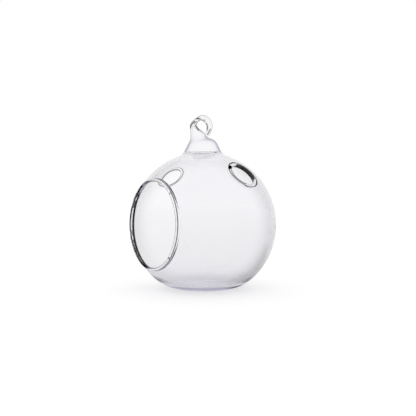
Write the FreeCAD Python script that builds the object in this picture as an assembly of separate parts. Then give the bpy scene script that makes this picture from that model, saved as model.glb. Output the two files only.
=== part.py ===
import FreeCAD, Part
import math
import os

V = FreeCAD.Vector

# Ball. Lengths in millimetres, angles in degrees.
ball_diameter = 82.0
wall = 1.5
foot_cut = 4.8            # height lost where the ball is flattened into a foot
foot_corner_share = 0.61  # rounding of the foot's corner, of the ball's radius
floor_thickness = 2.0

# Large round mouth on the front, leaning slightly upward.
mouth_azimuth = 0.0
mouth_elevation = 1.6
mouth_share = 0.583       # bead circle's radius, of the ball's radius
mouth_bead = 0.95         # radius of the rim bead
mouth_bead_stand = 0.05   # middle of the bead outside the ball's face
mouth_blend = 2.6         # angle over which the wall meets the bead

# Two small vents on the upper half.
right_vent_azimuth = 103.2
left_vent_azimuth = -81.4
vent_elevation = 45.0
right_vent_radius = 8.3
left_vent_radius = 7.45
right_vent_bead = 1.15
left_vent_bead = 0.9
vent_bead_depth = 1.2     # middle of the bead inside the ball's face
right_vent_blend = 2.6
left_vent_blend = 2.3
bead_turn = 48.0          # how far round its back each bead shows before the wall meets it

# Hollow neck drawn up from the ball.
neck_shift = -0.5         # neck axis from the ball axis, along Y
neck_base_radius = 11.3
neck_taper = 0.49         # radius lost for each millimetre of height
neck_rise = 8.0           # crown above the ball's own top
crown_radius = 20.0
shoulder_rounding = 2.1
neck_wall = 1.3
crown_wall = 1.7
joint_rounding = 2.6
inner_joint_rounding = 4.0
crotch_rounding = 1.2     # where the crook's root grows out of the crown

# Crook of drawn glass above the crown.
root_wall = 1.4           # the hollow runs up inside the crook's root
crook_middle = -1.3       # centre of the eye along Y
crook_rise = 7.7          # centre of the eye above the crown
crook_half_width = 5.6
crook_half_height = 4.6
rod_radius = 1.72
tip_radius = 1.0

ball_radius = ball_diameter / 2.0
inner_radius = ball_radius - wall
centre_height = ball_radius - foot_cut
foot_corner = ball_radius * foot_corner_share
mouth_radius = ball_radius * mouth_share
mouth_reach = ball_radius + mouth_bead_stand
vent_reach = ball_radius - vent_bead_depth
joint_height = centre_height + math.sqrt(ball_radius ** 2 - neck_base_radius ** 2)
neck_top = centre_height + ball_radius + neck_rise
crook_height = neck_top + crook_rise
centre = V(0, 0, centre_height)
neck_axis = V(0, neck_shift, 0)

# Root of the crook: height over the crown, offset along Y, outer radius.
root = [
    (-3.4, -2.4, 3.8),
    (-1.7, -2.9, 4.2),
    (0.0, -3.45, 4.35),
    (2.15, -4.05, 4.0),
    (3.6, -5.0, 3.35),
    (4.5, -5.85, 2.7),
    (5.4, -6.6, 2.15),
]

# Rod of the crook: shares of the eye's half width, of its half height and of the rod's radius.
rod = [
    (-1.03, -0.24, 1.02),
    (-0.82, 0.13, 0.80),
    (-0.59, 0.41, 0.68),
    (-0.33, 0.62, 0.66),
    (0.11, 0.77, 0.95),
    (0.63, 0.55, 1.03),
    (0.92, 0.17, 1.02),
    (1.00, -0.25, 1.00),
    (0.90, -0.76, 0.83),
    (0.71, -1.18, 0.68),
]
tip = (0.64, -1.34)


def direction(azimuth, elevation):
    # Azimuth 0 is -Y and 90 is +X.
    a = math.radians(azimuth)
    e = math.radians(elevation)
    return V(math.sin(a) * math.cos(e), -math.cos(a) * math.cos(e), math.sin(e))


def ball_solid(radius, foot_z, corner):
    # Ball with a flat foot and a tangent corner arc, turned about Z.
    drop = centre_height - foot_z - corner
    reach = radius - corner
    flat = math.sqrt(reach * reach - drop * drop)
    turn = math.atan2(flat, drop)
    half = turn / 2.0
    foot = V(0, 0, foot_z)
    foot_end = V(flat, 0, foot_z)
    corner_mid = V(flat + corner * math.sin(half), 0, foot_z + corner - corner * math.cos(half))
    tangent = V(radius * math.sin(turn), 0, centre_height - radius * math.cos(turn))
    up = (math.pi + turn) / 2.0
    side = V(radius * math.sin(up), 0, centre_height - radius * math.cos(up))
    pole = V(0, 0, centre_height + radius)
    edges = [
        Part.makeLine(foot, foot_end),
        Part.Arc(foot_end, corner_mid, tangent).toShape(),
        Part.Arc(tangent, side, pole).toShape(),
        Part.makeLine(pole, foot),
    ]
    return Part.Face(Part.Wire(edges)).revolve(V(0, 0, 0), V(0, 0, 1), 360)


def neck_solid(side_wall, top_wall):
    # Tapered neck with a low domed crown and a rounded shoulder.
    start_z = joint_height - 4.0
    crown_z = neck_top - top_wall
    arc_radius = crown_radius - top_wall

    def flank(z):
        return neck_base_radius - neck_taper * (z - joint_height) - side_wall

    corner_z = crown_z
    for step in range(30):
        corner_z = crown_z - arc_radius + math.sqrt(arc_radius ** 2 - flank(corner_z) ** 2)
    corner_r = flank(corner_z)
    mid_r = corner_r * 0.5
    mid_z = crown_z - arc_radius + math.sqrt(arc_radius ** 2 - mid_r ** 2)
    low = V(0, 0, start_z)
    low_out = V(flank(start_z), 0, start_z)
    shoulder = V(corner_r, 0, corner_z)
    crown = V(0, 0, crown_z)
    edges = [
        Part.makeLine(low, low_out),
        Part.makeLine(low_out, shoulder),
        Part.Arc(shoulder, V(mid_r, 0, mid_z), crown).toShape(),
        Part.makeLine(crown, low),
    ]
    solid = Part.Face(Part.Wire(edges)).revolve(V(0, 0, 0), V(0, 0, 1), 360)
    rounded = []
    for edge in solid.Edges:
        box = edge.BoundBox
        if abs(box.ZMin - corner_z) < 1e-4 and abs(box.ZMax - corner_z) < 1e-4:
            rounded.append(edge)
    solid = solid.makeFillet(shoulder_rounding - side_wall * 0.8, rounded)
    solid.translate(neck_axis)
    return solid


def level_circle(point, radius):
    circle = Part.Wire(Part.makeCircle(radius))
    circle.translate(point)
    return circle


def crook_solid():
    # Round sections up the root and round the rod, closed by a ball at the tip.
    stations = []
    for rise, offset, radius in root:
        stations.append((V(0, offset, neck_top + rise), radius))
    for across, up, share in rod:
        point = V(0, crook_middle + across * crook_half_width, crook_height + up * crook_half_height)
        stations.append((point, rod_radius * share))
    end = V(0, crook_middle + tip[0] * crook_half_width, crook_height + tip[1] * crook_half_height)
    stations.append((end, tip_radius))
    wires = []
    count = len(stations)
    for index in range(count):
        point, radius = stations[index]
        before = stations[max(index - 1, 0)][0]
        after = stations[min(index + 1, count - 1)][0]
        heading = V(0, 0, 1) if index < len(root) - 1 else after - before
        circle = Part.Wire(Part.makeCircle(radius))
        circle.rotate(V(0, 0, 0), V(1, 0, 0), math.degrees(math.atan2(-heading.y, heading.z)))
        circle.translate(point)
        wires.append(circle)
    body = Part.makeLoft(wires, True, False)
    return body.fuse(Part.makeSphere(tip_radius, end))


def root_hollow():
    # The neck's hollow narrows with the root and thins to a point where the rod begins.
    sections = []
    for rise, offset, radius in root:
        sections.append(level_circle(V(0, offset, neck_top + rise), radius - root_wall))
    across, up, share = rod[0]
    point = V(0, crook_middle + across * crook_half_width, crook_height + up * crook_half_height)
    sections.append(Part.Vertex(point))
    return Part.makeLoft(sections, True, False)


def rim_ring(axis, circle_radius, bead_radius, reach, blend):
    # Wall end with a round bead that stands out of it, turned about the opening's own axis.
    phi = math.asin(circle_radius / reach)
    far = phi + math.radians(blend)
    side = axis.cross(V(0, 0, 1)).normalize()

    def polar(radius, angle):
        return centre + side * (radius * math.sin(angle)) + axis * (radius * math.cos(angle))

    def along(angle):
        return side * (-math.cos(angle)) + axis * math.sin(angle)

    middle = polar(reach, phi)
    outward = (middle - centre).normalize()
    span = reach * (far - phi) * 0.4
    outer_start = polar(ball_radius, far)
    inner_start = polar(inner_radius, far)
    back = math.radians(bead_turn)
    out_part = outward * math.cos(back)
    back_part = along(phi) * math.sin(back)
    rising = outward * math.sin(back) + along(phi) * math.cos(back)
    sinking = outward * -math.sin(back) + along(phi) * math.cos(back)
    bead_out = middle + (out_part - back_part) * bead_radius
    bead_in = middle - (out_part + back_part) * bead_radius
    free = middle + along(phi) * bead_radius
    outer_curve = Part.BezierCurve()
    outer_curve.setPoles([
        outer_start,
        outer_start + along(far) * span,
        bead_out - rising * span * 0.5,
        bead_out,
    ])
    inner_curve = Part.BezierCurve()
    inner_curve.setPoles([
        bead_in,
        bead_in - sinking * span * 0.5,
        inner_start + along(far) * span,
        inner_start,
    ])
    edges = [
        outer_curve.toShape(),
        Part.Arc(bead_out, free, bead_in).toShape(),
        inner_curve.toShape(),
        Part.makeLine(inner_start, outer_start),
    ]
    ring = Part.Face(Part.Wire(edges)).revolve(centre, axis, 360)
    length = ball_radius * 1.4
    cutter = Part.makeCone(0, length * math.tan(far), length, centre, axis)
    return ring, cutter


def crease(solid, height, radius):
    # Closed edge where the neck meets the ball.
    found = []
    for edge in solid.Edges:
        box = edge.BoundBox
        if abs(box.ZMin - height) < 1.0 and abs(box.ZMax - height) < 1.0 and box.XLength > radius:
            found.append(edge)
    return found


def crotch(solid):
    # Edges where the crook's root comes out of the crown and its shoulder.
    reach = max(station[2] for station in root) * 1.05
    found = []
    for edge in solid.Edges:
        box = edge.BoundBox
        level = box.ZMin > neck_top - shoulder_rounding and box.ZMax < neck_top + crotch_rounding
        if level and box.XMax < reach and box.XMin > -reach:
            found.append(edge)
    return found


outside = ball_solid(ball_radius, 0.0, foot_corner)
outside = outside.fuse(neck_solid(0.0, 0.0))
outside = outside.makeFillet(joint_rounding, crease(outside, joint_height, neck_base_radius))
outside = outside.fuse(crook_solid())
outside = outside.makeFillet(crotch_rounding, crotch(outside))

inner_joint_radius = neck_base_radius - neck_wall
inner_joint_height = centre_height + math.sqrt(inner_radius ** 2 - inner_joint_radius ** 2)
inside = ball_solid(inner_radius, floor_thickness, foot_corner - wall)
inside = inside.fuse(neck_solid(neck_wall, crown_wall))
inside = inside.makeFillet(inner_joint_rounding, crease(inside, inner_joint_height, inner_joint_radius))
inside = inside.fuse(root_hollow())

vase = outside.cut(inside)
right_vent = direction(right_vent_azimuth, vent_elevation)
left_vent = direction(left_vent_azimuth, vent_elevation)
rims = [
    (direction(mouth_azimuth, mouth_elevation), mouth_radius, mouth_bead, mouth_reach, mouth_blend),
    (right_vent, right_vent_radius, right_vent_bead, vent_reach, right_vent_blend),
    (left_vent, left_vent_radius, left_vent_bead, vent_reach, left_vent_blend),
]
for axis, circle_radius, bead_radius, reach, blend in rims:
    ring, cutter = rim_ring(axis, circle_radius, bead_radius, reach, blend)
    vase = vase.cut(cutter).fuse(ring)
if vase.ShapeType == "Compound" and len(vase.Solids) == 1:
    vase = vase.Solids[0]

os.makedirs("parts", exist_ok=True)
vase.exportStep("parts/glass_vase.step")
print("glass_vase", vase.ShapeType, vase.isValid(), len(vase.Solids), len(vase.Faces), vase.Volume)
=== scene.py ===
import math
import bmesh
import bpy
import numpy as np
from mathutils import Matrix, Vector
from mathutils.geometry import delaunay_2d_cdt


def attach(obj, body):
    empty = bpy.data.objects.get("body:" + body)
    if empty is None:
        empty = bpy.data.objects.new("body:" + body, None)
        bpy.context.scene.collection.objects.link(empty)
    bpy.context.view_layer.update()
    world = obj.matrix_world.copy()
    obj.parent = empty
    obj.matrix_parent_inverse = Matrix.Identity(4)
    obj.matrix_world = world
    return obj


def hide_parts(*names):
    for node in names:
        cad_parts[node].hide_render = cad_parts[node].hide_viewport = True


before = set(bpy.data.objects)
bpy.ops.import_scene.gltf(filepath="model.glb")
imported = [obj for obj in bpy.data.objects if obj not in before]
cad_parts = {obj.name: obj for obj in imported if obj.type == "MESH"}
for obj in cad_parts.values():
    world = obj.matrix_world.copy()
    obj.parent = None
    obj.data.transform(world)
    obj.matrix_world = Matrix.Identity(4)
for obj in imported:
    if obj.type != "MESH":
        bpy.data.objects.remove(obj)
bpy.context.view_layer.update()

# The blown ball, in metres and degrees. Azimuth 0 is -Y and 90 is +X.
ball = {
    "radius": 0.041,
    "wall": 0.0015,
    "centreHeight": 0.0362,
    "cornerRadius": 0.025,      # between the flat foot and the ball
    "floorThickness": 0.002,
    "lumps": [                  # across, along Y, width and height of soft lumps on the floor
        (0.0021, 0.0028, 0.0020, 0.00035),
        (0.0042, 0.0060, 0.0015, -0.00030),
        (0.0068, 0.0094, 0.0024, 0.00050),
        (-0.0030, -0.0020, 0.0040, 0.00015),
    ],
    "lumpFade": 0.004,          # the lumps end this far before the wall
    "floorRings": 24,
    "footRings": 5,
    "cornerRings": 30,
    "around": 128,
    "spots": 15000,             # points spread over each face of the wall
    "spotMargin": 0.55,         # room kept at each edge, of the distance between spots
    "weld": 2e-7,               # points nearer than this are one
    "trueNormal": 0.98,         # cosine within which a normal is set to the ball's own
}

# Every opening ends in a fire-polished bead, whose middle lies at the reach from the ball's centre.
# Blend is the angle over which the wall's outer face meets it and innerBlend that of the inner
# face. Crease and edge are thin lines of painted shade, at the crease round the bead and along its
# free edge: strength, width and place, outwards from the bead's middle in bead radii. Thin, dark
# and band start with an angle round the opening and half the angle covered. Thin lists where light
# goes straight through: how far from the bead's middle this holds for all light, and for light
# that leaves by the outer face, both less towards the ends. Dark lists where the bead shows dark:
# how far this holds from its middle and outwards. Band is a field of painted shade on the bead:
# its strength, and how far it reaches outwards past the bead's middle, in bead radii.
openings = {
    "mouth": {
        "azimuth": 0.0, "elevation": 1.6, "radius": 0.02378, "bead": 0.00078,
        "reach": 0.04125, "blend": 2.6, "innerBlend": 2.6, "around": 208,
        "crease": (1.0, 0.00020, 0.80), "edge": (0.75, 0.00016, -1.0),
        "thin": [
            (0.0, 56.0, 0.0017, 0.0017),
        ],
        "dark": [
            (128.5, 12.5, 0.00090, 0.00040),
            (152.0, 6.0, 0.00090, 0.00040),
            (194.0, 4.0, 0.00090, 0.00040),
            (232.0, 28.0, 0.00090, 0.00040),
        ],
    },
    "rightVent": {
        "azimuth": 100.6, "elevation": 43.7, "radius": 0.0079, "bead": 0.00110,
        "reach": 0.0400, "blend": 2.2, "innerBlend": 2.4, "around": 96,
        "crease": (1.0, 0.00036, 0.90), "edge": (0.7, 0.00018, -1.0),
        "thin": [
            (186.0, 84.0, 0.0018, 0.0018),
        ],
        "dark": [],
        "shadeBand": (20.0, 56.0, 0.97, 0.30),
    },
    "leftVent": {
        "azimuth": -81.4, "elevation": 45.0, "radius": 0.00745, "bead": 0.0009,
        "reach": 0.0398, "blend": 2.3, "innerBlend": 2.3, "around": 96,
        "crease": (1.0, 0.00022, 0.80), "edge": (0.9, 0.00020, -1.0),
        "thin": [
            (0.0, 720.0, 0.0020, 0.0060),
        ],
        "dark": [],
    },
}

# The rim's profile, the same for every opening.
rim = {
    "shoulderAngle": 48.0,      # where the wall's curves meet the bead, from straight outwards
    "handle": 0.4,              # length of the curves' handles, of the blend's own length
    "curvePoints": 18,
    "beadPoints": 30,
}

# Neck with a low crown, hollow inside.
neck = {
    "shift": -0.0005,           # neck axis along Y
    "baseRadius": 0.0113,
    "taper": 0.49,
    "top": 0.0852,
    "crownRadius": 0.020,
    "collarStart": 0.0149,      # the ball begins to rise to the neck at this radius
    "collarRise": 70.0,         # times the square of the way in
    "collarWidth": 0.0049,
    "jointSoftness": 0.0005,
    "innerJointSoftness": 0.0012,
    "shoulderSoftness": 0.0017,
    "crotchSoftness": 0.0024,   # rounding between the crown and the crook's root
    "sideWall": 0.0013,
    "innerInset": 0.35,         # the inner collar starts further in by this share of the side wall
    "outerSkirt": 0.0150,       # where the neck's own surface meets the ball
    "innerSkirt": 0.0150,
    "collarInner": 0.0124,      # rows lie closer together inside this radius
    "collarRows": (17, 29),
    "around": 96,
    # height where each set of level rows starts, and the number of rows up to the next
    "outerLevels": [(0.0790, 9), (0.0820, 19), (0.0840, 39), (0.0856, 17)],
    "innerLevels": [(0.0780, 10), (0.0810, 19), (0.0826, 39), (0.0846, 21)],
    "middleLeans": (0.0800, 0.0860),    # heights between which the rows' middle moves to the root
    "searchWithin": 0.016,      # no point of the neck is further from the rows' middle
    "halvings": 40,
}

# Crook: offset along Y, height and radius of its round sections.
crook = {
    "root": [
        (-0.0024, 0.0818, 0.0038),
        (-0.0029, 0.0835, 0.0042),
        (-0.00345, 0.0852, 0.00435),
        (-0.00405, 0.08735, 0.00400),
        (-0.0050, 0.0888, 0.00335),
        (-0.00585, 0.0897, 0.0027),
        (-0.0066, 0.0906, 0.00215),
    ],
    "rod": [
        (-0.00707, 0.09180, 0.00175),
        (-0.00589, 0.09350, 0.00138),
        (-0.00460, 0.09479, 0.00117),
        (-0.00315, 0.09575, 0.00114),
        (-0.00068, 0.09644, 0.00163),
        (0.00223, 0.09543, 0.00177),
        (0.00385, 0.09368, 0.00175),
        (0.00430, 0.09175, 0.00172),
        (0.00374, 0.08940, 0.00143),
        (0.00268, 0.08747, 0.00117),
        (0.00228, 0.08674, 0.00100),
    ],
    "handOver": 0.0889,         # height where plain round sections take over from the crown
    "rowGap": 0.00005,          # least height between the last level row and the first round one
    "leanOver": (0.0900, 0.0025),       # height where sections start to lean, and over how much
    "rootSlant": 0.88,          # distance square to the leaning root, of the level distance
    "tipRows": 12,              # of the half ball at the tip
    "rootWall": 0.0014,
    "needle": 0.00012,          # radius where the hollow inside the root ends
    "stepsBetween": 6,
}

centre = np.array([0.0, 0.0, ball["centreHeight"]])
innerRadius = ball["radius"] - ball["wall"]


def towards(azimuth, elevation):
    # Unit vector: sine and cosine of azimuth in plan, elevation above it.
    turn, rise = math.radians(azimuth), math.radians(elevation)
    return np.array([math.sin(turn) * math.cos(rise), -math.cos(turn) * math.cos(rise), math.sin(rise)])


def gridFaces(rows, around, closedTip=None, closedRoot=None):
    # Quads between neighbouring rows of a grid that closes on itself sideways, and triangles
    # from the last row to a tip or from the first to a root.
    i = np.arange(rows - 1)[:, None] * around
    j = np.arange(around)[None, :]
    k = (j + 1) % around
    quads = np.stack([i + j, i + k, i + around + k, i + around + j], axis=-1)
    faces = quads.reshape(-1, 4).tolist()
    if closedTip is not None:
        last = (rows - 1) * around
        faces += np.stack([last + j[0], last + k[0], np.full(around, closedTip)], axis=-1).tolist()
    if closedRoot is not None:
        faces += np.stack([k[0], j[0], np.full(around, closedRoot)], axis=-1).tolist()
    return faces


def flipFaces(faces):
    # The same faces seen from their other side: each list of corners backwards.
    return [face[::-1] for face in faces]


def bezier(p0, p1, p2, p3, t):
    # Cubic curve: weights of the four handles by the powers of t and 1 - t.
    t = t[:, None]
    u = 1.0 - t
    return u ** 3 * p0 + 3 * u * u * t * p1 + 3 * u * t * t * p2 + t ** 3 * p3


def rimSurface(opening):
    # Profile turned about the opening's axis: a curve off the outer wall, half a circle
    # round the bead, and a curve back to the inner wall, all in polar form from the ball's centre.
    axis = towards(opening["azimuth"], opening["elevation"])
    phi = math.asin(opening["radius"] / opening["reach"])
    far = phi + math.radians(opening["blend"])
    innerFar = phi + math.radians(opening["innerBlend"])
    span = opening["reach"] * (far - phi) * rim["handle"]
    innerSpan = opening["reach"] * (innerFar - phi) * rim["handle"]

    def polar(r, angle):
        # Distance from the opening's axis, and along it.
        return np.array([r * math.sin(angle), r * math.cos(angle)])

    def along(angle):
        # Direction of the wall there, towards the axis.
        return np.array([-math.cos(angle), math.sin(angle)])

    middle = polar(opening["reach"], phi)
    out = middle / np.linalg.norm(middle)
    lean = math.radians(rim["shoulderAngle"])
    shoulder = math.cos(lean) * out - math.sin(lean) * along(phi)
    inShoulder = -math.cos(lean) * out - math.sin(lean) * along(phi)
    rising = math.sin(lean) * out + math.cos(lean) * along(phi)
    inRising = -math.sin(lean) * out + math.cos(lean) * along(phi)
    beadOut = middle + shoulder * opening["bead"]
    beadIn = middle + inShoulder * opening["bead"]
    t = np.linspace(0.0, 1.0, rim["curvePoints"])
    outerStart = polar(ball["radius"], far)
    innerEnd = polar(innerRadius, innerFar)
    outer = bezier(outerStart, outerStart + along(far) * span, beadOut - rising * span * 0.5, beadOut, t)
    inner = bezier(beadIn, beadIn - inRising * span * 0.5,
                   innerEnd + along(innerFar) * innerSpan, innerEnd, t)
    turn = np.linspace(-lean, math.pi + lean, rim["beadPoints"])[1:-1, None]
    bead = middle + opening["bead"] * (np.cos(turn) * out + np.sin(turn) * along(phi))
    profile = np.concatenate([outer, bead, inner])
    side = np.cross(axis, [0.0, 0.0, 1.0])
    side /= np.linalg.norm(side)
    other = np.cross(axis, side)
    angle = np.linspace(0.0, 2 * math.pi, opening["around"], endpoint=False)
    ring = np.cos(angle)[:, None] * side + np.sin(angle)[:, None] * other
    points = centre + profile[:, None, :1] * ring[None] + profile[:, None, 1:] * axis
    return points, axis, far, innerFar


def footSurface(radius, footZ, corner):
    # Flat disc, then a corner arc that runs into the ball, turned about Z.
    drop = centre[2] - footZ - corner
    flat = math.sqrt((radius - corner) ** 2 - drop ** 2)
    turn = math.atan2(flat, drop)
    steps = ball["floorRings"] if footZ > 0.0 else ball["footRings"]
    disc = np.stack([np.linspace(0.0, flat, steps + 1)[1:], np.full(steps, footZ)], axis=1)
    bend = np.linspace(0.0, turn, ball["cornerRings"] + 1)[1:]
    arc = np.stack([flat + corner * np.sin(bend), footZ + corner - corner * np.cos(bend)], axis=1)
    profile = np.concatenate([disc, arc])
    angle = np.linspace(0.0, 2 * math.pi, ball["around"], endpoint=False)
    x = profile[:, :1] * np.cos(angle)
    y = profile[:, :1] * np.sin(angle)
    z = np.broadcast_to(profile[:, 1:], x.shape).copy()
    if footZ > 0.0:
        # soft lumps where the floor was pressed flat, fading out before the wall
        fromFlat = np.linalg.norm(profile - profile[steps - 1], axis=1)
        calm = np.clip((turn * corner - fromFlat) / ball["lumpFade"], 0.0, 1.0)
        for placeX, placeY, width, height in ball["lumps"]:
            spread = np.exp(-((x - placeX) ** 2 + (y - placeY) ** 2) / width ** 2)
            z += height * spread * calm[:, None]
    return np.stack([x, y, z], axis=-1), turn


def softMax(a, b, softness):
    # The larger of two heights, rounded where they are closer than the softness.
    h = np.maximum(softness - np.abs(a - b), 0.0) / softness
    return np.maximum(a, b) + h * h * softness * 0.25


def collarHeight(x, y, radius, sideWall):
    # Height over the plan: the ball, raised by the square of the way in to the neck,
    # and the tapered flank where it is higher.
    rho = np.hypot(x, y - neck["shift"])
    wayIn = np.clip(neck["collarStart"] - sideWall * neck["innerInset"] - rho, 0.0, neck["collarWidth"])
    onBall = centre[2] + np.sqrt(radius ** 2 - x * x - y * y)
    onBall = onBall + neck["collarRise"] * wayIn ** 2
    flank = baseZ + (neck["baseRadius"] - sideWall - rho) / neck["taper"]
    return softMax(onBall, flank, neck["innerJointSoftness"] if sideWall else neck["jointSoftness"])


def smoothPath(stations, steps):
    # Catmull-Rom curve through the stations, with its offset, height and radius together.
    p = np.array(stations)
    ends = np.concatenate([[2 * p[0] - p[1]], p, [2 * p[-1] - p[-2]]])
    t = np.linspace(0.0, 1.0, steps, endpoint=False)[None, :, None]
    before, here, there, after = ends[:-3, None], ends[1:-2, None], ends[2:-1, None], ends[3:, None]
    square = 2 * before - 5 * here + 4 * there - after
    cube = 3 * here - before - 3 * there + after
    curve = 0.5 * (2 * here + (there - before) * t + square * t ** 2 + cube * t ** 3)
    return np.concatenate([curve.reshape(-1, p.shape[1]), p[-1:]])


baseZ = centre[2] + math.sqrt(ball["radius"] ** 2 - neck["baseRadius"] ** 2)
crookPath = smoothPath(crook["root"] + crook["rod"], crook["stepsBetween"])
rootPath = crookPath[:len(crook["root"]) * crook["stepsBetween"]]


def outsideBy(x, y, z):
    # Distance outside the neck: the flank and the crown's ball, the larger of the two with a soft
    # shoulder, then the smaller of that and the leaning root with a soft crotch.
    rho = np.hypot(x, y - neck["shift"])
    flank = (rho - neck["baseRadius"] + neck["taper"] * (z - baseZ)) / math.hypot(1.0, neck["taper"])
    crown = np.hypot(rho, z - neck["top"] + neck["crownRadius"]) - neck["crownRadius"]
    body = softMax(flank, crown, neck["shoulderSoftness"])
    rootY = np.interp(z, rootPath[:, 1], rootPath[:, 0])
    rootR = np.interp(z, rootPath[:, 1], rootPath[:, 2])
    root = (np.hypot(x, y - rootY) - rootR) * crook["rootSlant"]
    return -softMax(-body, -root, neck["crotchSoftness"])


def levelSections(heights, wall):
    # At each height, points all round where the distance outside equals minus the wall,
    # found by halving the way between the middle and well outside.
    around = neck["around"]
    angle = np.linspace(0.0, 2 * math.pi, around, endpoint=False)[None]
    z = np.broadcast_to(heights[:, None], (len(heights), around))
    leanFrom, leanTo = neck["middleLeans"]
    lean = np.clip((heights - leanFrom) / (leanTo - leanFrom), 0.0, 1.0)
    rootY = np.interp(heights, rootPath[:, 1], rootPath[:, 0])
    middle = (neck["shift"] + lean * (rootY - neck["shift"]))[:, None]
    near = np.zeros(z.shape)
    far = np.full(z.shape, neck["searchWithin"])
    for halving in range(neck["halvings"]):
        r = (near + far) * 0.5
        inside = outsideBy(r * np.cos(angle), middle + r * np.sin(angle), z) + wall[:, None] < 0.0
        near = np.where(inside, r, near)
        far = np.where(inside, far, r)
    return np.stack([near * np.cos(angle), middle + near * np.sin(angle), z], axis=-1)


def levelHeights(stops):
    # Evenly spaced heights from each stop to the next, and the height of the hand-over last.
    ends = [height for height, rows in stops[1:]] + [crook["handOver"]]
    parts = [np.linspace(height, end, rows, endpoint=False) for (height, rows), end in zip(stops, ends)]
    return np.concatenate(parts + [[crook["handOver"]]])


def circleRows(centreY, rowRadius, around):
    # Plan circles about points on the Y axis.
    angle = np.linspace(0.0, 2 * math.pi, around, endpoint=False)
    x = rowRadius[:, None] * np.cos(angle)
    y = centreY[:, None] + rowRadius[:, None] * np.sin(angle)
    return x, y


def lowerNeck(radius, skirt, sideWall, joinHeight):
    # Collar rows from the ball in to the flank, whose last row lies on the flank itself.
    last = neck["baseRadius"] - sideWall - neck["taper"] * (joinHeight - baseZ)
    outerRows, innerRows = neck["collarRows"]
    rho = np.concatenate([
        np.linspace(skirt, neck["collarInner"], outerRows, endpoint=False),
        np.linspace(neck["collarInner"], last, innerRows, endpoint=False),
    ])
    x, y = circleRows(np.full(len(rho), neck["shift"]), rho, neck["around"])
    return np.stack([x, y, collarHeight(x, y, radius, sideWall)], axis=-1)


def neckSurface():
    # Collar, level sections over the crown, then round sections along the crook's path
    # and half a ball at its tip.
    heights = levelHeights(neck["outerLevels"])
    lower = lowerNeck(ball["radius"], neck["outerSkirt"], 0.0, heights[0])
    middle = levelSections(heights, np.zeros(len(heights)))
    path = crookPath
    heading = np.gradient(path[:, :2], axis=0)
    heading /= np.linalg.norm(heading, axis=1, keepdims=True)
    # the root's sections stay level and lean over only where the rod begins
    leanFrom, leanRise = crook["leanOver"]
    lean = np.clip((path[:, 1] - leanFrom) / leanRise, 0.0, 1.0)
    lean = np.where(np.arange(len(path)) > len(rootPath), 1.0, lean)[:, None]
    heading = heading * lean + np.array([0.0, 1.0]) * (1 - lean)
    heading /= np.linalg.norm(heading, axis=1, keepdims=True)
    start = int(np.argmax(path[:, 1] > crook["handOver"] + crook["rowGap"]))
    path, heading = path[start:], heading[start:]
    angle = np.linspace(0.0, 2 * math.pi, neck["around"], endpoint=False)
    across = np.stack([heading[:, 1], -heading[:, 0]], axis=1)
    x = path[:, 2:3] * np.cos(angle)
    y = path[:, 0:1] + path[:, 2:3] * np.sin(angle) * across[:, 0:1]
    z = path[:, 1:2] + path[:, 2:3] * np.sin(angle) * across[:, 1:2]
    upper = np.stack([x, y, z], axis=-1)
    tipCentre = np.array([0.0, path[-1, 0], path[-1, 1]])
    ahead = np.array([0.0, heading[-1, 0], heading[-1, 1]])
    sideways = np.array([0.0, across[-1, 0], across[-1, 1]])
    dome = np.linspace(0.0, math.pi / 2, crook["tipRows"])[1:-1]
    tipR = path[-1, 2]
    ringX = np.cos(dome)[:, None] * np.cos(angle)
    ringS = np.cos(dome)[:, None] * np.sin(angle)
    tip = tipCentre + tipR * (ringX[..., None] * np.array([1.0, 0, 0]) + ringS[..., None] * sideways
                              + np.sin(dome)[:, None, None] * ahead)
    return np.concatenate([lower, middle, upper, tip]), tipCentre + tipR * ahead


def neckHollow():
    # The same sections with the wall taken off; above the crown they thin to a needle in the rod.
    heights = levelHeights(neck["innerLevels"])
    side = neck["sideWall"] / math.hypot(1.0, neck["taper"])
    rootWall = crook["rootWall"] * crook["rootSlant"]
    wall = np.interp(heights, [heights[0], crook["handOver"]], [side, rootWall])
    lower = lowerNeck(innerRadius, neck["innerSkirt"], neck["sideWall"], heights[0])
    middle = levelSections(heights, wall)
    radius = crookPath[:, 2] - crook["rootWall"]
    above = crookPath[:, 1] > crook["handOver"] + crook["rowGap"]
    start = int(np.argmax(above))
    end = int(np.argmax(above & (radius < crook["needle"])))
    path, radius = crookPath[start:end], radius[start:end]
    x, y = circleRows(path[:, 0], radius, neck["around"])
    upper = np.stack([x, y, np.broadcast_to(path[:, 1:2], x.shape)], axis=-1)
    top = np.array([0.0, path[-1, 0], path[-1, 1] + radius[-1]])
    return np.concatenate([lower, middle, upper]), top


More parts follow.
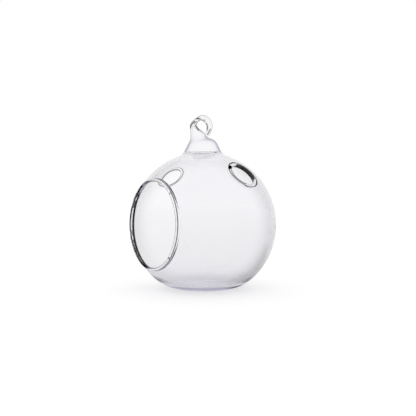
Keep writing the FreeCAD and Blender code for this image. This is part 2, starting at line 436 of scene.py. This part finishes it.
def sphereBetween(radius, loops, caps, skirt, mouthAxis):
    # Evenly spread points on the ball outside every opening, joined in the plane that the ball
    # is unrolled onto from the mouth, where circles stay circles.
    count = ball["spots"]
    k = np.arange(count) + 0.5
    rise = 1.0 - 2.0 * k / count
    angle = k * math.pi * (3.0 - math.sqrt(5.0))
    flat = np.sqrt(1.0 - rise * rise)
    units = np.stack([flat * np.cos(angle), flat * np.sin(angle), rise], axis=1)
    spacing = math.sqrt(4 * math.pi / count)
    side = np.cross(mouthAxis, [0.0, 0.0, 1.0])
    side /= np.linalg.norm(side)
    other = np.cross(mouthAxis, side)

    def openAt(u, margin):
        # True where a unit vector lies outside every cap and outside the neck's skirt.
        keep = np.ones(len(u), bool)
        for axis, far in caps:
            keep &= np.arccos(np.clip(u @ axis, -1.0, 1.0)) > far + margin
        plan = np.hypot(u[:, 0] * radius, u[:, 1] * radius - neck["shift"])
        keep &= (plan > skirt + margin * radius) | (u[:, 2] < 0)
        return keep

    units = units[openAt(units, spacing * ball["spotMargin"])]
    edgePoints = [(loop - centre) / radius for loop in loops]
    everything = np.concatenate(edgePoints + [units])
    lift = 1.0 - everything @ mouthAxis
    flatPoints = np.stack([(everything @ side) / lift, (everything @ other) / lift], axis=1)
    edges = []
    start = 0
    for loop in edgePoints:
        count = len(loop)
        step = np.arange(count)
        edges += np.stack([start + step, start + (step + 1) % count], axis=1).tolist()
        start += count
    result = delaunay_2d_cdt([Vector(p) for p in flatPoints.tolist()], edges, [], 0, 1e-9, True)
    triangles = np.array(result[2])
    origin = np.array([ids[0] for ids in result[3]])
    triangles = origin[triangles]
    points = everything[triangles]
    middle = points.mean(axis=1)
    middle /= np.linalg.norm(middle, axis=1, keepdims=True)
    triangles = triangles[openAt(middle, 0.0)]
    p = everything[triangles]
    facing = np.einsum("ij,ij->i", np.cross(p[:, 1] - p[:, 0], p[:, 2] - p[:, 0]), p.mean(axis=1))
    triangles = np.where(facing[:, None] < 0, triangles[:, ::-1], triangles)
    return centre + everything * radius, triangles


def addPatch(store, points, faces):
    # Adds points and faces to what is stored, with the faces' corners counted on from there.
    start = store["count"]
    store["points"].append(points.reshape(-1, 3))
    store["faces"] += [[start + v for v in face] for face in faces]
    store["count"] += len(store["points"][-1])


def outwardGrid(points, faces, away):
    # Turns a grid's faces so that the first of them looks away from the given point.
    first, second, third = points.reshape(-1, 3)[faces[0][:3]]
    outwards = np.dot(np.cross(second - first, third - first), first - away) > 0
    return faces if outwards else flipFaces(faces)


def placesAndNormals(mesh):
    # Two arrays, with the place and the normal of each point.
    where = np.empty(len(mesh.vertices) * 3)
    mesh.vertices.foreach_get("co", where)
    normals = np.empty(len(mesh.vertices) * 3)
    mesh.vertex_normals.foreach_get("vector", normals)
    return where.reshape(-1, 3), normals.reshape(-1, 3)


def buildGlass():
    # One closed skin: the rims, then the foot, the neck and the wall, outside and inside.
    store = {"points": [], "faces": [], "count": 0}
    outerLoops, innerLoops, outerCaps, innerCaps = [], [], [], []
    for opening in openings.values():
        points, axis, far, innerFar = rimSurface(opening)
        faces = gridFaces(*points.shape[:2])
        addPatch(store, points, outwardGrid(points, faces, centre))
        outerLoops.append(points[0])
        innerLoops.append(points[-1])
        outerCaps.append((axis, far))
        innerCaps.append((axis, innerFar))
    print("rims made", len(openings))
    mouthAxis = outerCaps[0][0]
    down = np.array([0.0, 0.0, -1.0])
    innerCorner = ball["cornerRadius"] - ball["wall"]
    for radius, footZ, corner, loops, caps, inward in (
        (ball["radius"], 0.0, ball["cornerRadius"], outerLoops, outerCaps, False),
        (innerRadius, ball["floorThickness"], innerCorner, innerLoops, innerCaps, True),
    ):
        foot, turn = footSurface(radius, footZ, corner)
        rows, around = foot.shape[:2]
        points = np.concatenate([foot.reshape(-1, 3), [[0.0, 0.0, footZ]]])
        faces = gridFaces(rows, around, closedRoot=rows * around)
        faces = outwardGrid(points, faces, centre)
        addPatch(store, points, flipFaces(faces) if inward else faces)
        if inward:
            grid, top = neckHollow()
        else:
            grid, top = neckSurface()
        rows, around = grid.shape[:2]
        points = np.concatenate([grid.reshape(-1, 3), [top]])
        faces = gridFaces(rows, around, closedTip=rows * around)
        faces = outwardGrid(points, faces, centre)
        addPatch(store, points, flipFaces(faces) if inward else faces)
        skirt = neck["innerSkirt"] if inward else neck["outerSkirt"]
        loops, caps = loops + [foot[-1], grid[0]], caps + [(down, turn)]
        wall, triangles = sphereBetween(radius, loops, caps, skirt, mouthAxis)
        faces = triangles.tolist()
        addPatch(store, wall, flipFaces(faces) if inward else faces)
        print("wall face made", "inside" if inward else "outside", len(faces))
    mesh = bpy.data.meshes.new("glassBall")
    mesh.from_pydata(np.concatenate(store["points"]).tolist(), [], store["faces"])
    edit = bmesh.new()
    edit.from_mesh(mesh)
    bmesh.ops.remove_doubles(edit, verts=edit.verts, dist=ball["weld"])
    openEdges = sum(1 for edge in edit.edges if len(edge.link_faces) != 2)
    loose = [point for point in edit.verts if not point.link_faces]
    bmesh.ops.delete(edit, geom=loose, context="VERTS")
    edit.to_mesh(mesh)
    edit.free()
    mesh.polygons.foreach_set("use_smooth", np.ones(len(mesh.polygons), bool))
    mesh.update()
    # exact normals on the round part of the wall
    where, normals = placesAndNormals(mesh)
    away = where - centre
    reach = np.linalg.norm(away, axis=1)
    unit = away / reach[:, None]
    for radius, sign in ((ball["radius"], 1.0), (innerRadius, -1.0)):
        turned = np.einsum("ij,ij->i", normals, unit) * sign
        near = (np.abs(reach - radius) < ball["weld"]) & (turned > ball["trueNormal"])
        normals[near] = unit[near] * sign
    mesh.normals_split_custom_set_from_vertices(normals)
    piece = bpy.data.objects.new("glassBall", mesh)
    bpy.context.scene.collection.objects.link(piece)
    print("glass made, faces", len(mesh.polygons), "open edges", openEdges)
    return piece


glassLook = {
    "ior": 1.47,
    "absorption": (0.775, 0.765, 0.850),    # with the density, what each metre of glass lets through
    "density": 115.0,
    "shadow": 1.0,                          # light kept by each face a lamp's ray crosses
    # the near-black of the painted shade at the glass's edges and along its painted lines
    "paintedShadeColour": (0.012, 0.012, 0.016),
    "shadeFacingFrom": 0.38,                       # Layer Weight facing where the painted edge shade begins
    "shadeFacingTo": 0.85,
    # strength of the painted edge shade and how many times sooner it begins
    "wall": (0.22, 1.2),
    "lowWall": (0.13, 1.2),
    "topWall": (0.08, 1.2),
    # painted shade, strong, on one low side of the ball
    "shadedSide": (0.9, 1.0),
    "bead": (0.10, 1.0),
    "neck": (0.30, 1.0),
    "foot": (0.06, 1.0),
    "riser": (0.6, 1.4),
    "loop": (0.35, 1.2),
    # where each of them fades out or in: heights, or what the note says
    "lowWallEnds": (0.012, 0.032),
    "topWallStarts": (0.066, 0.073),
    "shadedSideTowards": (144.0, -42.0),      # azimuth and elevation of the side with painted shade
    "shadedSideStarts": (0.85, 0.98),         # cosines from there
    "beadEnds": (1.05, 1.6),                # from the bead's middle, in bead radii
    "neckStarts": (0.0765, 0.0775),
    "neckEnds": (0.0118, 0.0128),           # from the neck's axis
    "footEnds": (0.002, 0.008),
    "riserStarts": (0.0886, 0.0915),
    "loopStarts": (0.0870, 0.0885),
    "loopStartsAlong": (-0.0032, -0.0022),  # along Y
    "tipStarts": (0.0855, 0.0858),
    "tipStartsAlong": (0.0008, 0.0014),     # along Y
    # the hollow of the neck has no painted edge shade: the height where it starts, the height from which
    # the neck closes round it, and how deep inside the neck it lies there
    "hollow": (0.0745, 0.0790, 0.0004),
    # light goes straight through above this height and within this radius, and through the
    # outer face below the height of thinFoot
    "thinNeck": (0.0770, 0.0123),
    "thinFoot": 0.0035,
    "thinTaper": 2.5,                       # power by which the thin stretches narrow to their ends
    "jointShade": (0.30, 0.0004, 0.0119),        # painted shade line round the neck's joint: strength, width, radius
    "jointHeights": (0.0740, 0.0775),
    "bandEdge": 0.12,                       # softness of the painted shade field on a bead, in bead radii
    "bandWithin": 1.1,                      # how far it goes from the bead's middle
    "bandHides": 0.9,                       # the crease is left out on this share of it
    "linesWithin": (3.0, -0.3),             # painted shade lines at crease and edge: how far away, and how far in
    # strokes of painted shade in the glass: strength, width and points, first on the crook, then two
    # faint ones on the floor inside
    "shadeStrokes": [
        (1.0, 0.00042, [(0.0, -0.0088, 0.0903), (0.0005, -0.0088, 0.0915), (0.0009, -0.0082, 0.0927),
                        (0.0010, -0.0069, 0.0939)]),
        (0.8, 0.00035, [(0.0015, -0.0073, 0.0927), (0.0013, -0.0058, 0.0939)]),
        (1.0, 0.00055, [(0.0007, -0.0052, 0.0955), (0.0011, -0.0039, 0.0957)]),
        (0.8, 0.00035, [(0.0011, -0.0039, 0.0957), (0.0012, -0.0022, 0.0952), (0.0001, 0.0002, 0.0945)]),
        (0.6, 0.00045, [(0.0012, -0.0004, 0.0952), (0.0007, 0.0003, 0.0946)]),
        (1.0, 0.00045, [(0.0002, 0.0019, 0.09345), (0.0002, 0.0026, 0.0916), (0.0002, 0.0024, 0.0899)]),
        (1.0, 0.00040, [(0.0017, -0.0067, 0.0917), (0.0023, -0.0062, 0.0903), (0.0032, -0.0056, 0.0890)]),
        (0.4, 0.00030, [(0.0032, -0.0056, 0.0890), (0.0037, -0.0040, 0.0878)]),
        (0.8, 0.00040, [(0.0010, 0.0021, 0.0873), (0.0012, 0.0027, 0.0882), (0.0015, 0.0038, 0.0902)]),
        (0.45, 0.0010, [(-0.0014, -0.0002, 0.002), (0.0040, 0.0020, 0.002), (0.0077, 0.0055, 0.002),
                        (0.0090, 0.0107, 0.0022), (0.0081, 0.0145, 0.0025)]),
        (0.3, 0.0009, [(-0.0133, 0.0073, 0.0023), (-0.0102, 0.0115, 0.0023), (-0.0062, 0.0144, 0.0023),
                       (-0.0016, 0.0165, 0.0026), (0.0031, 0.0179, 0.0029)]),
    ],
}


def fade(value, low, high):
    # Smooth step from 0 at low to 1 at high.
    s = np.clip((value - low) / (high - low), 0.0, 1.0)
    return s * s * (3 - 2 * s)


def aroundOpening(opening, where):
    # For each point, the angle round the opening, the distance from the middle of the bead, and
    # the parts of it that lie along the wall towards the free edge and straight out of the wall.
    axis = towards(opening["azimuth"], opening["elevation"])
    side = towards(opening["azimuth"] + 90.0, 0.0)
    up = np.cross(axis, side)
    lift = math.sqrt(opening["reach"] ** 2 - opening["radius"] ** 2)
    offset = where - centre - axis * lift
    along = offset @ axis
    beyond = np.linalg.norm(offset - along[:, None] * axis, axis=1) - opening["radius"]
    turn = np.degrees(np.arctan2(offset @ up, offset @ side))
    radial = np.array([opening["radius"], lift]) / opening["reach"]
    inward = -(beyond * radial[1] - along * radial[0])
    outward = beyond * radial[0] + along * radial[1]
    return turn, np.hypot(beyond, along), inward, outward


def offFrom(turn, middle):
    # Size of the angle from the middle of a stretch, the short way round.
    return np.abs((turn - middle + 180.0) % 360.0 - 180.0)


def paintShadeStrokes(where):
    # Painted shade along each piece of a stroke: strength times a bell of the distance over the width.
    shadeLines = np.zeros(len(where))
    for strength, width, stops in glassLook["shadeStrokes"]:
        for start, end in zip(np.array(stops)[:-1], np.array(stops)[1:]):
            piece = end - start
            share = np.clip((where - start) @ piece / np.dot(piece, piece), 0.0, 1.0)
            away = np.linalg.norm(where - start - share[:, None] * piece, axis=1)
            shadeLines = np.maximum(shadeLines, strength * np.exp(-(away / width) ** 2))
    return shadeLines


def hollowOfNeck(where, plan, outerFace):
    # Points on the face round the hollow: the inner face below, and the depth inside above.
    start, closed, depth = glassLook["hollow"]
    z = where[:, 2]
    inNeck = (z > start) & (z < crook["handOver"]) & (plan < neck["outerSkirt"])
    return inNeck & (((z < closed) & ~outerFace) | ((z >= closed) & (outsideBy(*where.T) < -depth)))


def writePaintedShade(piece):
    # Five values at each point: strength and reach of the painted shade at the edges, strength of
    # the painted shade lines drawn by place, and 0 or 1 where light goes straight through, always or on its
    # way out.
    mesh = piece.data
    where, normals = placesAndNormals(mesh)
    z, alongY = where[:, 2], where[:, 1]
    plan = np.hypot(where[:, 0], alongY - neck["shift"])
    outerFace = np.einsum("ij,ij->i", normals, where - centre) > 0
    unit = (where - centre) / np.linalg.norm(where - centre, axis=1, keepdims=True)
    values = np.tile(np.array(glassLook["wall"]), (len(where), 1))

    def blendIn(name, share):
        # Moves the painted edge shade's values towards the named ones by the share.
        values[:] += (np.array(glassLook[name]) - values) * share[:, None]

    def starts(name, value):
        # The smooth step between the two named limits.
        return fade(value, *glassLook[name])

    blendIn("lowWall", 1 - starts("lowWallEnds", z))
    blendIn("topWall", starts("topWallStarts", z))
    blendIn("foot", 1 - starts("footEnds", z))
    blendIn("neck", starts("neckStarts", z) * (1 - starts("neckEnds", plan)))
    blendIn("riser", starts("riserStarts", z))
    onTip = starts("tipStartsAlong", alongY) * starts("tipStarts", z)
    onLoop = starts("loopStartsAlong", alongY) * starts("loopStarts", z)
    blendIn("loop", np.maximum(onLoop, onTip))
    # painted shade on one low side of the ball, by the direction from its centre
    blendIn("shadedSide", starts("shadedSideStarts", unit @ towards(*glassLook["shadedSideTowards"])))
    values[hollowOfNeck(where, plan, outerFace)] = 0.0
    shadeLines = paintShadeStrokes(where)
    # painted shade line round the neck's joint
    strength, width, radius = glassLook["jointShade"]
    low, high = glassLook["jointHeights"]
    onJoint = outerFace * (z > low) * (z < high)
    shadeLines = np.maximum(shadeLines, onJoint * strength * np.exp(-((plan - radius) / width) ** 2))
    neckFrom, neckWithin = glassLook["thinNeck"]
    thin = (z > neckFrom) & (plan < neckWithin)
    thin |= (z < glassLook["thinFoot"]) & outerFace
    thinOut = np.zeros(len(where), bool)
    for opening in openings.values():
        turn, fromBead, inward, outward = aroundOpening(opening, where)
        bead = opening["bead"]
        gap = fromBead / bead
        blendIn("bead", 1 - starts("beadEnds", gap))
        for middle, halfWidth, allWays, wayOut in opening["thin"]:
            taper = np.clip(1 - (offFrom(turn, middle) / halfWidth) ** glassLook["thinTaper"], 0.0, 1.0)
            thin |= (fromBead < allWays * taper) & (z < neckFrom)
            thinOut |= (fromBead < wayOut * taper) & (z < neckFrom) & outerFace
        for middle, halfWidth, within, beyond in opening["dark"]:
            thin |= (offFrom(turn, middle) < halfWidth) & (fromBead < within) & (inward > -beyond)
        inBand = np.zeros(len(where), bool)
        if "shadeBand" in opening:
            # painted shade field, widest in its middle, from the free edge outwards
            middle, halfWidth, strength, beyond = opening["shadeBand"]
            offBy = offFrom(turn, middle) / halfWidth
            edge = glassLook["bandEdge"]
            reachOut = (1.0 + beyond) * np.sqrt(np.clip(1 - offBy ** 2, 0.0, 1.0)) - 1.0
            shadeBand = fade(inward / bead + reachOut, -edge, edge) * (offBy < 1.0)
            shadeLines = np.maximum(shadeLines, strength * shadeBand * (gap < glassLook["bandWithin"]))
            inBand = offBy < glassLook["bandHides"]
        # painted shade lines at the crease round the bead and along its free edge
        within, lowest = glassLook["linesWithin"]
        near = (gap < within) & (outward > lowest * bead)
        for (strength, width, place), drawn in ((opening["crease"], near & ~inBand), (opening["edge"], near)):
            shadeLines = np.maximum(shadeLines, drawn * strength * np.exp(-((inward + place * bead) / width) ** 2))
    columns = {"shadeStrength": values[:, 0], "shadeReach": values[:, 1], "shadeLines": shadeLines,
               "clear": thin, "clearOut": thinOut & ~thin}
    for name, column in columns.items():
        layer = mesh.attributes.new(name, "FLOAT", "POINT")
        layer.data.foreach_set("value", column.astype(np.float32))
    print("edges written", list(columns))


def mathNode(nodes, links, operation, *values):
    # Math node whose inputs are numbers or the outputs of other nodes.
    node = nodes.new("ShaderNodeMath")
    node.operation = operation
    for socket, value in zip(node.inputs, values):
        if isinstance(value, float):
            socket.default_value = value
        else:
            links.new(value, socket)
    return node.outputs[0]


def pointValue(nodes, name):
    # The value that the piece has at each point under this name.
    node = nodes.new("ShaderNodeAttribute")
    node.attribute_name = name
    return node.outputs["Fac"]


def mixShaders(nodes, links, share, first, second):
    # The first shader, and the second one by the share.
    node = nodes.new("ShaderNodeMixShader")
    for socket, value in zip(node.inputs, (share, first, second)):
        links.new(value, socket)
    return node.outputs["Shader"]


def glassMaterial():
    # Clear glass, with painted shade at its edges and along the painted shade lines.
    material = bpy.data.materials.new("clearGlass")
    material.use_nodes = True
    nodes, links = material.node_tree.nodes, material.node_tree.links
    shader, output = nodes["Principled BSDF"], nodes["Material Output"]
    shader.inputs["Roughness"].default_value = 0.0
    shader.inputs["IOR"].default_value = glassLook["ior"]
    shader.inputs["Transmission Weight"].default_value = 1.0
    # painted shade where the glass turns away from the eye
    facing = nodes.new("ShaderNodeLayerWeight")
    facing.inputs["Blend"].default_value = 0.5
    turned = nodes.new("ShaderNodeMapRange")
    turned.interpolation_type = "SMOOTHSTEP"
    turned.inputs["From Min"].default_value = glassLook["shadeFacingFrom"]
    turned.inputs["From Max"].default_value = glassLook["shadeFacingTo"]
    sooner = mathNode(nodes, links, "MULTIPLY", facing.outputs["Facing"], pointValue(nodes, "shadeReach"))
    links.new(sooner, turned.inputs["Value"])
    edge = mathNode(nodes, links, "MULTIPLY", turned.outputs["Result"], pointValue(nodes, "shadeStrength"))
    # white mixed towards the painted shade colour by the edge shade or the painted lines, the stronger of the
    # two
    colour = nodes.new("ShaderNodeMix")
    colour.data_type = "RGBA"
    links.new(mathNode(nodes, links, "MAXIMUM", edge, pointValue(nodes, "shadeLines")), colour.inputs["Factor"])
    colour.inputs[6].default_value = (1.0, 1.0, 1.0, 1.0)
    colour.inputs[7].default_value = (*glassLook["paintedShadeColour"], 1.0)
    links.new(colour.outputs[2], shader.inputs["Base Color"])
    # where it is thin light goes straight through, in places only on its way out of the glass
    straight = nodes.new("ShaderNodeBsdfTransparent")
    links.new(colour.outputs[2], straight.inputs["Color"])
    face = nodes.new("ShaderNodeNewGeometry")
    thin = mathNode(nodes, links, "MULTIPLY_ADD", pointValue(nodes, "clearOut"),
                    face.outputs["Backfacing"], pointValue(nodes, "clear"))
    thin.node.use_clamp = True
    glass = mixShaders(nodes, links, thin, shader.outputs["BSDF"], straight.outputs["BSDF"])
    # lamps shine through, so that the glass throws a light shadow
    clear = nodes.new("ShaderNodeBsdfTransparent")
    keep = glassLook["shadow"]
    clear.inputs["Color"].default_value = (keep, keep, keep, 1.0)
    path = nodes.new("ShaderNodeLightPath")
    whole = mixShaders(nodes, links, path.outputs["Is Shadow Ray"], glass, clear.outputs["BSDF"])
    links.new(whole, output.inputs["Surface"])
    absorb = nodes.new("ShaderNodeVolumeAbsorption")
    absorb.inputs["Color"].default_value = (*glassLook["absorption"], 1.0)
    absorb.inputs["Density"].default_value = glassLook["density"]
    links.new(absorb.outputs["Volume"], output.inputs["Volume"])
    return material


glassBall = buildGlass()
writePaintedShade(glassBall)
glassBall.data.materials.append(glassMaterial())
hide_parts("glass_vase")
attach(glassBall, "root")

studio = {
    "floorColour": (0.82, 0.82, 0.82),
    "floorHalfSize": 12.0,
    "floorGap": 0.00008,            # keeps the floor's face and the foot's face apart
    "floorGlow": 0.34,              # makes the pale floor white to the eye
    "glowNear": 0.192,              # the same as seen in and through the glass, near and far, lower near as painted shade round the ball
    "glowFar": 0.306,
    "glowHalfWay": 1.0,             # distance at which the glow is half way between the two
    "roomLight": 0.85,
    "fewFaces": 3.5,                # light through fewer faces came through one rod or one wall
    # dark flags round the white room, as the glass shows them: azimuth, elevation, cosines of
    # the angles where each starts and is full, and what is left of the light
    "flags": [
        (179.0, 20.0, 0.72, 0.84, 0.02),
        (0.0, 90.0, 0.45, 0.62, 0.03),
    ],
}


def seenHow(nodes, links):
    # What kind of ray meets the surface, and the mark of one that glass or a gloss has turned.
    path = nodes.new("ShaderNodeLightPath").outputs
    return path, mathNode(nodes, links, "MAXIMUM", path["Is Transmission Ray"], path["Is Glossy Ray"])


def floorMaterial():
    # Matt and pale. In the glass its glow goes from near to far by the distance from the middle,
    # divided by the distance and the half-way distance together; lower near the middle, as painted shade.
    material = bpy.data.materials.new("paleFloor")
    material.use_nodes = True
    nodes, links = material.node_tree.nodes, material.node_tree.links
    shader = nodes["Principled BSDF"]
    shader.inputs["Base Color"].default_value = (*studio["floorColour"], 1.0)
    shader.inputs["Roughness"].default_value = 1.0
    shader.inputs["Specular IOR Level"].default_value = 0.0
    path, turned = seenHow(nodes, links)
    place = nodes.new("ShaderNodeTexCoord")
    distance = nodes.new("ShaderNodeVectorMath")
    distance.operation = "LENGTH"
    links.new(place.outputs["Object"], distance.inputs[0])
    beyond = mathNode(nodes, links, "ADD", distance.outputs["Value"], studio["glowHalfWay"])
    away = mathNode(nodes, links, "DIVIDE", distance.outputs["Value"], beyond)
    far = nodes.new("ShaderNodeMapRange")
    far.inputs["To Min"].default_value = studio["glowNear"]
    far.inputs["To Max"].default_value = studio["glowFar"]
    links.new(away, far.inputs["Value"])
    inGlass = mathNode(nodes, links, "MULTIPLY", turned, far.outputs["Result"])
    glow = mathNode(nodes, links, "MULTIPLY_ADD", path["Is Camera Ray"], studio["floorGlow"], inGlass)
    shader.inputs["Emission Color"].default_value = (1.0, 1.0, 1.0, 1.0)
    links.new(glow, shader.inputs["Emission Strength"])
    return material


def layFloor():
    # One square about the middle, just under the foot.
    size = studio["floorHalfSize"]
    mesh = bpy.data.meshes.new("floor")
    corners = [(-size, -size, 0), (size, -size, 0), (size, size, 0), (-size, size, 0)]
    mesh.from_pydata(corners, [], [(0, 1, 2, 3)])
    floor = bpy.data.objects.new("floor", mesh)
    floor.location.z = -studio["floorGap"]
    floor.data.materials.append(floorMaterial())
    bpy.context.scene.collection.objects.link(floor)
    print("floor laid")


def whiteLight(nodes, strength):
    # A white background of this strength.
    node = nodes.new("ShaderNodeBackground")
    node.inputs["Color"].default_value = (1.0, 1.0, 1.0, 1.0)
    node.inputs["Strength"].default_value = strength
    return node


def lightRoom():
    # A white room. Light that came through one rod or one wall sees the dark flags too: each
    # takes the strength down by the cosine between the direction and the flag's middle.
    world = bpy.data.worlds.new("room")
    bpy.context.scene.world = world
    world.use_nodes = True
    nodes, links = world.node_tree.nodes, world.node_tree.links
    nodes.clear()
    output = nodes.new("ShaderNodeOutputWorld")
    path, turned = seenHow(nodes, links)
    few = mathNode(nodes, links, "LESS_THAN", path["Ray Depth"], studio["fewFaces"])
    through = mathNode(nodes, links, "MULTIPLY", path["Is Transmission Ray"], few)
    lit = whiteLight(nodes, studio["roomLight"]).outputs[0]
    white = whiteLight(nodes, 1.0).outputs[0]
    flagged = whiteLight(nodes, 1.0)
    place = nodes.new("ShaderNodeTexCoord")
    light = None
    for azimuth, elevation, start, full, left in studio["flags"]:
        dot = nodes.new("ShaderNodeVectorMath")
        dot.operation = "DOT_PRODUCT"
        links.new(place.outputs["Generated"], dot.inputs[0])
        dot.inputs[1].default_value = towards(azimuth, elevation).tolist()
        level = nodes.new("ShaderNodeMapRange")
        level.interpolation_type = "SMOOTHSTEP"
        level.inputs["From Min"].default_value = start
        level.inputs["From Max"].default_value = full
        level.inputs["To Min"].default_value = 1.0
        level.inputs["To Max"].default_value = left
        links.new(dot.outputs["Value"], level.inputs["Value"])
        kept = level.outputs["Result"]
        light = kept if light is None else mathNode(nodes, links, "MULTIPLY", light, kept)
    links.new(light, flagged.inputs["Strength"])
    inGlass = mixShaders(nodes, links, through, white, flagged.outputs[0])
    room = mixShaders(nodes, links, turned, lit, inGlass)
    links.new(mixShaders(nodes, links, path["Is Camera Ray"], room, white), output.inputs["Surface"])
    print("room lit")


view = {
    "azimuth": 54.0,
    "distance": 0.3298,
    "above": 0.01536,           # camera over the ball's centre
    "lens": 50.19,
    "sensor": 36.0,
    "shift": (0.01094, 0.0401),
    "clip": (0.01, 50.0),
}


def placeCamera():
    # At the given distance from the ball's centre and looking at it.
    level = math.sqrt(view["distance"] ** 2 - view["above"] ** 2)
    turn = math.radians(view["azimuth"])
    place = Vector((level * math.sin(turn), -level * math.cos(turn), ball["centreHeight"] + view["above"]))
    aim = Vector(centre.tolist()) - place
    data = bpy.data.cameras.new("camera")
    data.lens = view["lens"]
    data.sensor_width = view["sensor"]
    data.shift_x, data.shift_y = view["shift"]
    data.clip_start, data.clip_end = view["clip"]
    camera = bpy.data.objects.new("camera", data)
    camera.matrix_world = Matrix.Translation(place) @ aim.to_track_quat("-Z", "Y").to_matrix().to_4x4()
    bpy.context.scene.collection.objects.link(camera)
    bpy.context.scene.camera = camera
    print("camera placed")


layFloor()
lightRoom()
placeCamera()
bpy.context.scene.view_settings.view_transform = "Standard"
print("scene ready")
